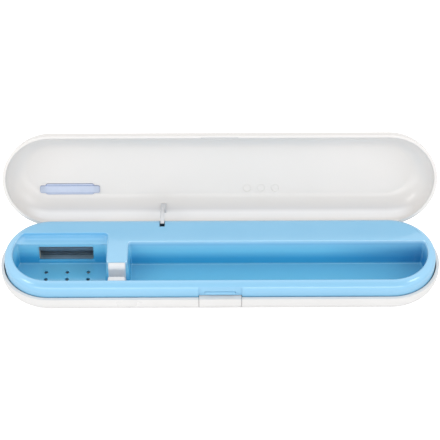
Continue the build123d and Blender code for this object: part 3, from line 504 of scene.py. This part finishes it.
cell = grained(
    "cell_jacket",
    srgb(74, 78, 84),
    srgb(60, 64, 70),
    roughness=0.28,
    clouds=160.0,
    grain=900.0,
    depth=0.00002,
)
dress(cell, "battery_cell_left", "battery_cell_right")

wire_red = grained(
    "wire_red", srgb(176, 38, 32), srgb(156, 32, 28), roughness=0.4, clouds=400.0, grain=2500.0
)
dress(wire_red, "battery_wires")
wire_white = grained(
    "wire_white", srgb(224, 222, 214), srgb(206, 204, 196), roughness=0.4, clouds=400.0, grain=2500.0
)
dress(wire_white, "lamp_wires")

# Floor: pale, and white to the camera apart from the shadow that it keeps
floor_size = 12.0
floor_drop = 0.0002
floor_glow = 0.55
floor_colour = (0.9, 0.9, 0.9, 1.0)
bpy.ops.mesh.primitive_plane_add(size=floor_size, location=(0, 0, -floor_drop))
floor = bpy.context.object
floor.name = "floor"
paper = Surface("floor_paper", floor_colour, 0.9, Specular_IOR_Level=0.0)
paper.bump(paper.noise(8.0), 0.0002, 0.05)
path = paper.node("ShaderNodeLightPath").outputs
seen = paper.math("MAXIMUM", path["Is Camera Ray"], path["Is Transmission Ray"])

# Painted shadow: under the case the floor is coloured dark and doesn't glow, so that the drain holes look
# dark
dark_share = 0.78
painted_shadow_colour = (0.02, 0.025, 0.03, 1.0)
outside = paper.above(paper.reach_from_axis(), dark_share * case_half_width)
paper_colour = mix_colours(paper.tree, outside, painted_shadow_colour, floor_colour)
paper.tree.links.new(paper_colour, paper.shader.inputs["Base Color"])
lift = paper.all_of(outside, floor_glow, seen)
glow = paper.node("ShaderNodeEmission", Color=(1.0, 1.0, 1.0, 1.0), Strength=lift)
both = paper.node("ShaderNodeAddShader")
paper.tree.links.new(paper.shader.outputs[0], both.inputs[0])
paper.tree.links.new(glow.outputs[0], both.inputs[1])
paper.tree.links.new(both.outputs[0], paper.tree.nodes["Material Output"].inputs["Surface"])
floor.data.materials.append(paper.material)

# World: even studio light, and in reflections a brighter white room, darker on the camera's side
room_light = 1.0
room_gloss = 1.5
camera_side_gloss = 0.5
camera_side = (0.0, -0.7, 0.714)
dim_from = 0.55
dim_full = 0.95
world = bpy.data.worlds.new("studio")
bpy.context.scene.world = world
world.use_nodes = True
room = world.node_tree
view_direction = add_node(room, "ShaderNodeTexCoord").outputs["Generated"]
nearness = dot_product(room, view_direction, camera_side)
gloss_light = map_range(room, nearness, dim_from, dim_full, room_gloss, camera_side_gloss)
in_reflection = add_node(room, "ShaderNodeLightPath").outputs["Is Glossy Ray"]
strength = map_range(room, in_reflection, 0.0, 1.0, room_light, gloss_light)
sky = room.nodes["Background"]
sky.inputs["Color"].default_value = (1.0, 1.0, 1.0, 1.0)
room.links.new(strength, sky.inputs["Strength"])


def softbox(name, place, target, size, power):
    """A rectangular lamp that faces a point."""
    data = bpy.data.lights.new(name, "AREA")
    data.shape = "RECTANGLE"
    data.size, data.size_y = size
    data.energy = power
    lamp = bpy.data.objects.new(name, data)
    bpy.context.scene.collection.objects.link(lamp)
    lamp.location = place
    direction = Vector(target) - Vector(place)
    lamp.rotation_euler = direction.to_track_quat("-Z", "Y").to_euler()


softbox("front", place=(-0.1, -1.58, 0.30), target=(0, 0.02, 0.02), size=(2.0, 0.5), power=5.2)
for name, side_x in (("left", -1.05), ("right", 1.05)):
    softbox(name, place=(side_x, -0.52, 1.05), target=(0, 0.0, 0.02), size=(0.5, 0.5), power=2.8)

# Camera at the photograph's viewing angle
tilt = radians(46.966)
roll = radians(-0.23)
distance = 1.0286
focus = Vector((0, 0.030654, 0.0115))
focal_pixels = 1877.25
image_pixels = 440.0
sensor_width = 36.0
forward = Vector((0, cos(tilt), -sin(tilt)))
side = Vector((1, 0, 0))
upward = Vector((0, sin(tilt), cos(tilt)))
right = cos(roll) * side + sin(roll) * upward
up = cos(roll) * upward - sin(roll) * side
place = focus - distance * forward
camera_data = bpy.data.cameras.new("camera")
camera_data.sensor_width = sensor_width
camera_data.lens = sensor_width * focal_pixels / image_pixels
camera_data.clip_start = 0.05
camera_data.clip_end = 20.0
camera = bpy.data.objects.new("camera", camera_data)
bpy.context.scene.collection.objects.link(camera)
camera.matrix_world = Matrix(
    (
        (right.x, up.x, -forward.x, place.x),
        (right.y, up.y, -forward.y, place.y),
        (right.z, up.z, -forward.z, place.z),
        (0, 0, 0, 1),
    )
)
bpy.context.scene.camera = camera
bpy.context.scene.view_settings.view_transform = "Standard"
